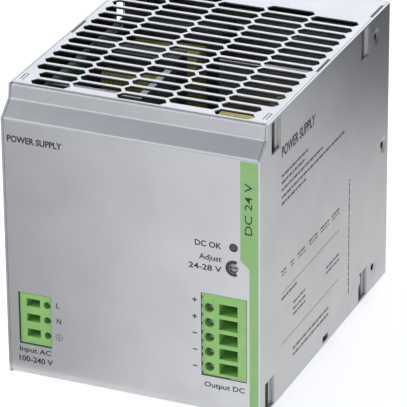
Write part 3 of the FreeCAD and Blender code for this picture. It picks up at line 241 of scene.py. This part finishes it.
def lamp_look():
    look = new_look("lamp_lens", Transmission_Weight=0.25, Coat_Weight=0.4)
    tint(look, grain(look, 700), (0.02, 0.16, 0.05), (0.04, 0.26, 0.08))
    vary_roughness(look, grain(look, 3000), 0.15, 0.3)
    return look


ROLLED = (0.06, 1, 1)
# bounds of the painted shade on the inner faces of the housing sheets, in metres
HALF_SHEET = 0.5 * MM
INNER_FACE = 0.95 * MM
INNER_SIDE = 3.5 * MM
BEHIND_SLOPE = 9.0 * MM
REAR = shell_high.y - 1.5 * MM
LOOKS = {
    "shell": housing_sheet("shell_aluminium", (LEFT + INNER_FACE, FRONT, -1), (RIGHT - INNER_FACE, REAR, 1)),
    "cover": housing_sheet("cover_aluminium", (LEFT + INNER_SIDE, FRONT + BEHIND_SLOPE, HALF_SHEET),
                           (RIGHT - INNER_SIDE, 1, cover_high.z - HALF_SHEET)),
    "foot": metal("foot_aluminium", (0.50, 0.51, 0.53), (0.56, 0.57, 0.59), 0.38, (1, 1, 0.05), 4000),
    "zinc": metal("zinc_steel", (0.50, 0.51, 0.53), (0.66, 0.67, 0.68), 0.3, grain_scale=2500),
    "screw": metal("screw_steel", (0.26, 0.29, 0.27), (0.42, 0.46, 0.43), 0.26, grain_scale=3500),
    "brass": metal("tinned_brass", (0.55, 0.52, 0.44), (0.70, 0.66, 0.55), 0.3, grain_scale=3000),
    "sink": metal("sink_aluminium", (0.34, 0.34, 0.35), (0.42, 0.42, 0.43), 0.38, (1, 1, 0.05), 3500),
    "board": circuit_board_look(),
    "film": plastic("insulation_film", (0.50, 0.48, 0.40), (0.58, 0.56, 0.47), 0.25, 900, 0.1),
    "green": plastic("terminal_green", (0.205, 0.43, 0.11), (0.245, 0.48, 0.135), 0.42,
                     Subsurface_Weight=0.06, Subsurface_Scale=0.0006),
    "ferrite": plastic("ferrite", (0.016, 0.016, 0.018), (0.032, 0.031, 0.033), 0.6, 1800, 0.35),
    "copper": metal("enamelled_copper", (0.33, 0.17, 0.05), (0.46, 0.26, 0.09), 0.25, grain_scale=1500),
    "olive": metal("olive_enamel", (0.18, 0.17, 0.07), (0.30, 0.28, 0.12), 0.3, grain_scale=1500, shine=0.5),
    "tape": layered("yellow_tape", (0.30, 0.29, 0.07), (0.42, 0.41, 0.11), 0.0011, (1, 0.02, 0.02), 0.36),
    "ceramic": plastic("fuse_ceramic", (0.66, 0.64, 0.58), (0.76, 0.74, 0.68), 0.3, 900, 0.1),
    "white": plastic("white_case", (0.70, 0.70, 0.69), (0.78, 0.78, 0.77), 0.4),
    "yellow": plastic("yellow_case", (0.72, 0.58, 0.12), (0.82, 0.68, 0.18), 0.35),
    "violet": plastic("varistor_lacquer", (0.10, 0.085, 0.34), (0.15, 0.12, 0.45), 0.3, 1200, 0.3),
    "blue": plastic("blue_lacquer", (0.08, 0.24, 0.46), (0.13, 0.34, 0.60), 0.28, 1200, 0.3),
    "epoxy": plastic("black_epoxy", (0.014, 0.014, 0.015), (0.028, 0.028, 0.03), 0.45, 3000, 0.3),
    "sleeve": plastic("can_sleeve", (0.012, 0.014, 0.03), (0.02, 0.023, 0.045), 0.25, 700, 0.08),
    "lamp": lamp_look(),
    "pipe": plastic("light_pipe", (0.035, 0.037, 0.04), (0.06, 0.062, 0.066), 0.28, 1800, 0.1,
                    Transmission_Weight=0.15),
    "trim_blue": plastic("trimmer_blue", (0.03, 0.09, 0.32), (0.05, 0.13, 0.42), 0.35),
    "trim_white": plastic("trimmer_rotor", (0.22, 0.22, 0.225), (0.30, 0.30, 0.305), 0.4),
    "cable": plastic("cable_sheath", (0.25, 0.03, 0.025), (0.34, 0.05, 0.04), 0.4, 1500, 0.2),
    "ink": plastic("black_ink", (0.012, 0.012, 0.013), (0.022, 0.022, 0.024), 0.5, 6000, 0.1),
    "grey_ink": plastic("grey_ink", (0.05, 0.05, 0.053), (0.08, 0.08, 0.084), 0.5, 6000, 0.1),
    "green_ink": plastic("green_film", (0.20, 0.39, 0.13), (0.225, 0.42, 0.145), 0.45, 3500, 0.1),
}

NODE_LOOKS = {
    "side_back_shell": "shell", "front_top_cover": "cover", "cover_screws": "zinc",
    "primary_board": "board", "output_board": "board", "board_spacers": "zinc", "board_screws": "zinc",
    "insulation_film": "film", "input_plug": "green", "output_plug": "green", "input_header": "green",
    "output_header": "green", "input_header_pins": "brass", "output_header_pins": "brass",
    "line_choke_core": "ferrite", "line_choke_winding": "copper", "output_choke_core": "ferrite",
    "output_choke_winding": "olive", "input_fuse": "ceramic", "line_capacitor": "white", "varistor": "violet",
    "primary_heat_sink": "sink", "output_heat_sink": "sink", "bridge_rectifier": "epoxy",
    "switching_transistors": "epoxy", "output_rectifiers": "epoxy", "bulk_capacitors": "sleeve",
    "output_capacitors": "sleeve", "pfc_choke_core": "ferrite", "pfc_choke_winding": "tape",
    "transformer_core": "ferrite", "transformer_winding": "tape", "output_film_capacitor": "yellow",
    "suppression_capacitors": "blue", "status_led": "lamp", "indicator_light_pipe": "pipe",
    "trimmer_body": "trim_blue", "trimmer_rotor": "trim_white", "board_link_cables": "cable",
    "rail_foot_plate": "foot", "rail_foot_screws": "zinc", "rail_latch": "zinc", "latch_keeper": "foot",
    "latch_spring": "zinc",
}
PREFIX_LOOKS = {"terminal_screw": "screw", "clamp_jaw": "brass"}


def dress_nodes():
    for name, node in nodes.items():
        key = NODE_LOOKS.get(name)
        for part, look in PREFIX_LOOKS.items():
            if part in name:
                key = look
        node.data.materials.clear()
        node.data.materials.append(LOOKS[key])


dress_nodes()


# ---------------------------------------------------------------- making pieces
def add_piece(name, mesh, look, body=HOUSING, smooth=False):
    """A mesh in the row frame becomes a piece that rides on the body."""
    piece = bpy.data.objects.new(name, mesh)
    scene.collection.objects.link(piece)
    mesh.materials.clear()
    mesh.materials.append(LOOKS[look])
    for face in mesh.polygons:
        face.use_smooth = smooth
    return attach(piece, body)


def mesh_from(shape, name):
    mesh = bpy.data.meshes.new(name)
    bmesh.ops.recalc_face_normals(shape, faces=shape.faces)
    shape.to_mesh(mesh)
    shape.free()
    return mesh


# Printing lies on a face of the housing. A face turns (across, up, out) in millimetres, measured from the
# front lower left corner of the housing, into a place in the row frame.
PRINT_THICK = 0.03


def on_front(across, up, out):
    return Vector((LEFT + across * MM, FRONT - out * MM, up * MM))


def on_right(across, up, out):
    return Vector((RIGHT + out * MM, FRONT + across * MM, up * MM))


def slab(shape, face, outline):
    """A thin solid on the face with this outline of (across, up) points."""
    lower = [shape.verts.new(face(a, u, 0.0)) for a, u in outline]
    upper = [shape.verts.new(face(a, u, PRINT_THICK)) for a, u in outline]
    count = len(outline)
    shape.faces.new(lower)
    shape.faces.new(upper)
    for i in range(count):
        j = (i + 1) % count
        shape.faces.new((lower[i], lower[j], upper[j], upper[i]))


def box_outline(a0, a1, u0, u1):
    return [(a0, u0), (a1, u0), (a1, u1), (a0, u1)]


def ring_outlines(centre, inner, outer, start=0.0, end=360.0, steps=48):
    """Quads along an arc, each an outline."""
    def at(radius, angle):
        return centre[0] + radius * math.cos(angle), centre[1] + radius * math.sin(angle)

    outlines = []
    for i in range(steps):
        a, b = (math.radians(start + (end - start) * k / steps) for k in (i, i + 1))
        outlines.append([at(inner, a), at(inner, b), at(outer, b), at(outer, a)])
    return outlines


def print_shapes(name, face, outlines, look="ink"):
    shape = bmesh.new()
    for outline in outlines:
        slab(shape, face, outline)
    return add_piece(name, mesh_from(shape, name), look)


def print_words(name, face, words, a0, a1, u0, u1, look="ink", upward=False, weight=0.0):
    """Lettering that fills the box from (a0, u0) to (a1, u1); upward lettering reads from bottom to top."""
    curve = bpy.data.curves.new(name, "FONT")
    curve.body = words
    curve.resolution_u = 3
    curve.extrude = 0.5
    curve.offset = weight
    source = bpy.data.objects.new(name + "_curve", curve)
    mesh = bpy.data.meshes.new_from_object(source)
    bpy.data.objects.remove(source)
    low = [min(v.co[k] for v in mesh.vertices) for k in range(3)]
    high = [max(v.co[k] for v in mesh.vertices) for k in range(3)]
    for vertex in mesh.vertices:
        x, y, z = ((vertex.co[k] - low[k]) / (high[k] - low[k]) for k in range(3))
        if upward:
            x, y = 1 - y, x
        vertex.co = face(a0 + (a1 - a0) * x, u0 + (u1 - u0) * y, PRINT_THICK * z)
    return add_piece(name, mesh, look)


SHORTEST_BAR = 0.6


def word_bars(start, end, level, height, seed=0, gap=0.7):
    """Small bars of uneven length along a line, as (a0, a1, u0, u1) boxes: illegible small print."""
    boxes = []
    at, i = start, seed
    while at < end - SHORTEST_BAR:
        length = min(1.4 + (i * 7 % 5) * 0.75, end - at)
        boxes.append((at, at + length, level - height / 2, level + height / 2))
        at += length + gap
        i += 1
    return boxes


# ---------------------------------------------------------------- printing on the front
STRIP_LEFT, STRIP_RIGHT, STRIP_INNER = 106.3, 114.1, 110.2
STRIP_TOP, STRIP_STEP_HIGH, STRIP_STEP_LOW, STRIP_FOOT = 116.4, 72.0, 68.6, 0.7
TRIMMER = (103.3, 67.8)


def print_front():
    strip = [(STRIP_INNER, STRIP_FOOT), (STRIP_RIGHT, STRIP_FOOT), (STRIP_RIGHT, STRIP_TOP),
             (STRIP_LEFT, STRIP_TOP), (STRIP_LEFT, STRIP_STEP_HIGH), (STRIP_INNER, STRIP_STEP_LOW)]
    print_shapes("green_strip", on_front, [strip], "green_ink")
    print_words("strip_lettering", raised_front, "DC 24 V", 108.2, 111.5, 84.0, 107.0,
                upward=True, weight=0.006)
    print_words("front_title", on_front, "POWER SUPPLY", 2.6, 27.4, 107.4, 110.4, weight=0.03)
    print_words("lamp_lettering", on_front, "DC OK", 86.2, 98.0, 75.5, 78.2, weight=0.022)
    print_words("trimmer_lettering", on_front, "Adjust", 88.0, 98.0, 68.9, 72.2, weight=0.018)
    print_words("trimmer_range", on_front, "24-28 V", 83.4, 98.0, 64.9, 67.5, weight=0.022)
    print_words("input_lettering", on_front, "Input AC", 5.3, 20.0, 10.1, 13.2, weight=0.018)
    print_words("input_range", on_front, "100-240 V", 5.0, 20.6, 6.2, 8.9, weight=0.022)
    print_words("output_lettering", on_front, "Output DC", 90.0, 108.0, 10.4, 13.5, weight=0.018)
    print_words("live_letter", on_front, "L", 22.9, 24.4, 34.2, 36.5, weight=0.012)
    print_words("neutral_letter", on_front, "N", 22.9, 25.0, 27.0, 29.3, weight=0.012)


def raised_front(across, up, out):
    """Lettering on the green strip lies on the strip, not in it."""
    return on_front(across, up, out + PRINT_THICK)


POLE_SIGNS = "++---"
POLE_TOP, POLE_PITCH = 50.5, 7.65
SIGN_ACROSS, SIGN_HALF, SIGN_BAR = 85.9, 1.0, 0.27
EARTH = (23.9, 20.5)


def print_signs():
    """Plus and minus signs beside the output poles and the earth sign beside the input."""
    outlines = []
    bar = (SIGN_ACROSS - SIGN_HALF, SIGN_ACROSS + SIGN_HALF)
    post = (SIGN_ACROSS - SIGN_BAR, SIGN_ACROSS + SIGN_BAR)
    for i, sign in enumerate(POLE_SIGNS):
        level = POLE_TOP - POLE_PITCH * i
        outlines.append(box_outline(*bar, level - SIGN_BAR, level + SIGN_BAR))
        if sign == "+":
            outlines.append(box_outline(*post, level + SIGN_BAR, level + SIGN_HALF))
            outlines.append(box_outline(*post, level - SIGN_HALF, level - SIGN_BAR))
    print_shapes("pole_signs", on_front, outlines)
    across, up = EARTH
    earth = ring_outlines(EARTH, 1.38, 1.6, steps=36)
    earth.append(box_outline(across - 0.1, across + 0.1, up - 0.05, up + 0.95))
    for drop, half in ((0.0, 0.85), (0.4, 0.55), (0.8, 0.25)):
        earth.append(box_outline(across - half, across + half, up - 0.15 - drop, up - drop))
    print_shapes("earth_sign", on_front, earth, "grey_ink")
    scale = ring_outlines(TRIMMER, 2.1, 3.6, 62.0, 298.0, steps=40)
    print_shapes("trimmer_scale", on_front, scale)


# ---------------------------------------------------------------- printing on the right side
def print_side():
    print_words("side_title", on_right, "POWER SUPPLY", 23.0, 60.0, 109.2, 114.2, weight=0.03)
    lines = ((101.0, 53, 1), (98.0, 48, 2), (94.8, 69, 3), (91.5, 94, 0), (88.5, 50, 4))
    boxes = []
    for level, end, seed in lines:
        boxes += word_bars(23, end, level, 1.1, seed)
    for start, end in ((23, 28), (33, 37), (41, 50), (54, 64), (67, 77), (80, 89)):
        boxes += word_bars(start, end, 57.6, 0.9, start)
        boxes += word_bars(start + 0.5, end, 55.8, 0.6, end)
    boxes += word_bars(23, 40, 45.0, 1.1, 2)
    for level in (37.5, 34.5, 32.0):
        boxes += word_bars(36, 50, level, 0.9, int(level))
    for level in (36.0, 33.5):
        boxes += word_bars(74, 89, level, 0.9, int(level))
    for level in (16.0, 13.0):
        boxes += word_bars(36, 77, level, 1.0, int(level))
    print_shapes("side_small_print", on_right, [box_outline(*b) for b in boxes], "grey_ink")
    rules = [box_outline(23, 89, level - 0.12, level + 0.12) for level in (47.5, 24.0)]
    print_shapes("side_rules", on_right, rules, "grey_ink")
    upright = [box_outline(u0, u1, a0, a1) for a0, a1, u0, u1 in word_bars(11, 66, 101.0, 0.9, 1)]
    print_shapes("side_upright_print", on_right, upright, "grey_ink")


print_front()
print_signs()
print_side()


# ---------------------------------------------------------------- wound chokes
def tube(shape, path, radius, sides=8):
    """A closed tube round a closed path."""
    rings = []
    count = len(path)
    for i in range(count):
        along = (path[(i + 1) % count] - path[i - 1]).normalized()
        side = along.cross(Vector((0.3, 0.5, 0.81))).normalized()
        up = side.cross(along)
        ring = []
        for k in range(sides):
            angle = 2 * math.pi * k / sides
            ring.append(shape.verts.new(path[i] + radius * (math.cos(angle) * side + math.sin(angle) * up)))
        rings.append(ring)
    for i in range(count):
        here, there = rings[i], rings[(i + 1) % count]
        best = min(range(sides), key=lambda k: (here[0].co - there[k].co).length)
        for k in range(sides):
            a, b = (k + 1) % sides, (k + 1 + best) % sides
            shape.faces.new((here[k], here[a], there[b], there[(k + best) % sides]))


LOOP_STEPS = 28
LOOP_SQUARENESS = 0.55
WIRE_CLEAR = 0.92


def wind_ring(name, winding, core, bore, turns, reach, look):
    """Wire turns round a ring core whose axis is X, in two halves at the front and the rear."""
    core_low, core_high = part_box(core)
    wound_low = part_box(winding)[0]
    centre = (core_low + core_high) / 2
    wire = (core_low.x - wound_low.x) / 2
    outer = (core_high.z - core_low.z) / 2 + wire
    inner = bore * MM - wire
    half = (core_high.x - core_low.x) / 2 + wire
    middle, swing = (outer + inner) / 2, (outer - inner) / 2
    shape = bmesh.new()
    for side in (0, 180):
        for i in range(turns):
            angle = math.radians(side - reach + 2 * reach * i / (turns - 1))
            outward = Vector((0, math.cos(angle), math.sin(angle)))
            path = []
            for k in range(LOOP_STEPS):
                t = 2 * math.pi * k / LOOP_STEPS
                c, s = math.cos(t), math.sin(t)
                round_c = math.copysign(abs(c) ** LOOP_SQUARENESS, c)
                round_s = math.copysign(abs(s) ** LOOP_SQUARENESS, s)
                path.append(centre + Vector((half * round_s, 0, 0)) + outward * (middle + swing * round_c))
            tube(shape, path, wire * WIRE_CLEAR)
    piece = add_piece(name, mesh_from(shape, name), look, smooth=True)
    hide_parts(winding)


wind_ring("line_choke_turns", "line_choke_winding", "line_choke_core", 7.0, 11, 66, "copper")
wind_ring("output_choke_turns", "output_choke_winding", "output_choke_core", 8.0, 12, 68, "olive")


# ---------------------------------------------------------------- latch spring
SPRING_RADIUS, SPRING_WIRE, SPRING_TURNS = 0.75 * MM, 0.19 * MM, 9
SPRING_FOOT, SPRING_HEAD = 24.05 * MM, 41.4 * MM


def coil_spring():
    """The latch's pressure spring, a coil of wire from its foot to its head."""
    low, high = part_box("latch_spring")
    centre = (low + high) / 2
    shape = bmesh.new()
    steps, sides = SPRING_TURNS * 16, 8
    upward = Vector((0, 0, 1))
    foot, head = SPRING_FOOT + SPRING_WIRE, SPRING_HEAD - SPRING_WIRE
    rings = []
    for i in range(steps + 1):
        angle = 2 * math.pi * SPRING_TURNS * i / steps
        outward = Vector((math.cos(angle), math.sin(angle), 0))
        at = Vector((centre.x, centre.y, foot + (head - foot) * i / steps)) + SPRING_RADIUS * outward
        ring = []
        for k in range(sides):
            turn = 2 * math.pi * k / sides
            rim = math.cos(turn) * outward + math.sin(turn) * upward
            ring.append(shape.verts.new(at + SPRING_WIRE * rim))
        rings.append(ring)
    for here, there in zip(rings, rings[1:]):
        for k in range(sides):
            j = (k + 1) % sides
            shape.faces.new((here[k], here[j], there[j], there[k]))
    shape.faces.new(rings[0])
    shape.faces.new(rings[-1])
    piece = add_piece("latch_spring_wire", mesh_from(shape, "latch_spring_wire"), "zinc", smooth=True)
    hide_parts("latch_spring")
    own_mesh(piece)


coil_spring()


# ---------------------------------------------------------------- studio
def stage_mesh(name, corners, look):
    mesh = bpy.data.meshes.new(name)
    mesh.from_pydata(corners, [], [tuple(range(len(corners)))])
    piece = bpy.data.objects.new(name, mesh)
    scene.collection.objects.link(piece)
    mesh.materials.append(look)
    return piece


FLOOR_HALF = 6.0
FLOOR_GLOW = 0.48
CARD_LIFT = 0.001
SKY_STRENGTH = 0.36


def flat_card(x0, x1, y0, y1, z=CARD_LIFT):
    """Corners of a level rectangle."""
    return [(x0, y0, z), (x1, y0, z), (x1, y1, z), (x0, y1, z)]


def upright_card(left, right, z0, z1):
    """Corners of a standing rectangle between two places on the floor."""
    return [(*left, z0), (*right, z0), (*right, z1), (*left, z1)]


def make_floor():
    """Pale table with a little glow of its own, so that it stays near white."""
    look = new_look("floor", Roughness=0.9, Emission_Strength=FLOOR_GLOW)
    tint(look, grain(look, 3, detail=2), (0.86, 0.86, 0.86), (0.88, 0.88, 0.88))
    corners = flat_card(-FLOOR_HALF, FLOOR_HALF, -FLOOR_HALF, FLOOR_HALF, 0)
    stage_mesh("floor", corners, look)


def make_card(name, corners, direction, start, end, low, high):
    """Reflector card that only shows in glossy surfaces; its tone runs along a direction, in metres."""
    look = new_look(name, Base_Color=(0, 0, 0, 1), Specular_IOR_Level=0.0, Emission_Strength=1.0)
    tree = look.node_tree
    coordinates = tree.nodes.new("ShaderNodeTexCoord")
    along = tree.nodes.new("ShaderNodeVectorMath")
    along.operation = "DOT_PRODUCT"
    along.inputs[1].default_value = Vector(direction).normalized()
    tree.links.new(coordinates.outputs["Object"], along.inputs[0])
    place = tree.nodes.new("ShaderNodeMapRange")
    place.inputs["From Min"].default_value = start
    place.inputs["From Max"].default_value = end
    tree.links.new(along.outputs["Value"], place.inputs["Value"])
    tone = ramp(look, place.outputs["Result"], low, high, 0.0, 1.0)
    tree.links.new(tone, shader_of(look).inputs["Emission Color"])
    card = stage_mesh(name, corners, look)
    card.visible_camera = False
    card.visible_diffuse = False
    card.visible_shadow = False


def make_light(name, place, target, size, energy):
    data = bpy.data.lights.new(name, "AREA")
    data.shape = "DISK"
    data.size = size
    data.energy = energy
    light = bpy.data.objects.new(name, data)
    light.location = place
    light.rotation_mode = "QUATERNION"
    light.rotation_quaternion = (Vector(target) - Vector(place)).to_track_quat("-Z", "Y")
    scene.collection.objects.link(light)


def make_studio():
    world = bpy.data.worlds.new("studio")
    world.use_nodes = True
    background = world.node_tree.nodes["Background"]
    background.inputs["Color"].default_value = (0.86, 0.92, 1.0, 1)
    background.inputs["Strength"].default_value = SKY_STRENGTH
    scene.world = world
    make_light("key", (-1.3, -0.7, 0.9), (0, 0, 0.05), 0.9, 16)
    make_light("top", (0.2, 1.0, 1.3), (0, 0, 0.1), 1.0, 7)
    make_light("fill", (0.8, -1.5, 0.7), (0, 0, 0.05), 0.8, 4)
    front_floor = flat_card(-0.9, 0.5, -0.9, FRONT - 0.004)
    make_card("front_card", front_floor, (0.905, -0.425, 0), -0.035, 0.075,
              (0.40, 0.395, 0.405), (1.2, 1.22, 1.25))
    side_floor = flat_card(RIGHT + 0.003, 0.8, -0.3, 0.9)
    make_card("side_floor_card", side_floor, (0, 1, 0), -0.1, 0.3,
              (0.98, 0.99, 0.99), (0.8, 0.81, 0.82))
    wall = RIGHT + 0.05
    standing = upright_card((wall, 0.03), (wall, 0.5), 0.015, 0.4)
    make_card("side_card", standing, (0, 0.66, 0.75), 0.085, 0.15,
              (0.7, 0.71, 0.72), (0.006, 0.008, 0.012))
    behind = upright_card((-1.4, 0.7), (0.5, 1.1), 0.05, 1.2)
    make_card("back_card", behind, (1, 0, 0), -1.2, 0.3, (1.5, 1.56, 1.68), (1.65, 1.7, 1.82))
    above = upright_card((-1.2, -0.9), (0.6, -0.9), 0.3, 1.8)
    make_card("high_card", above, (1, 0, 0), -0.49, -0.35, (0.12, 0.14, 0.18), (1.35, 1.46, 1.6))
    scene.view_settings.view_transform = "Standard"


make_floor()
make_studio()
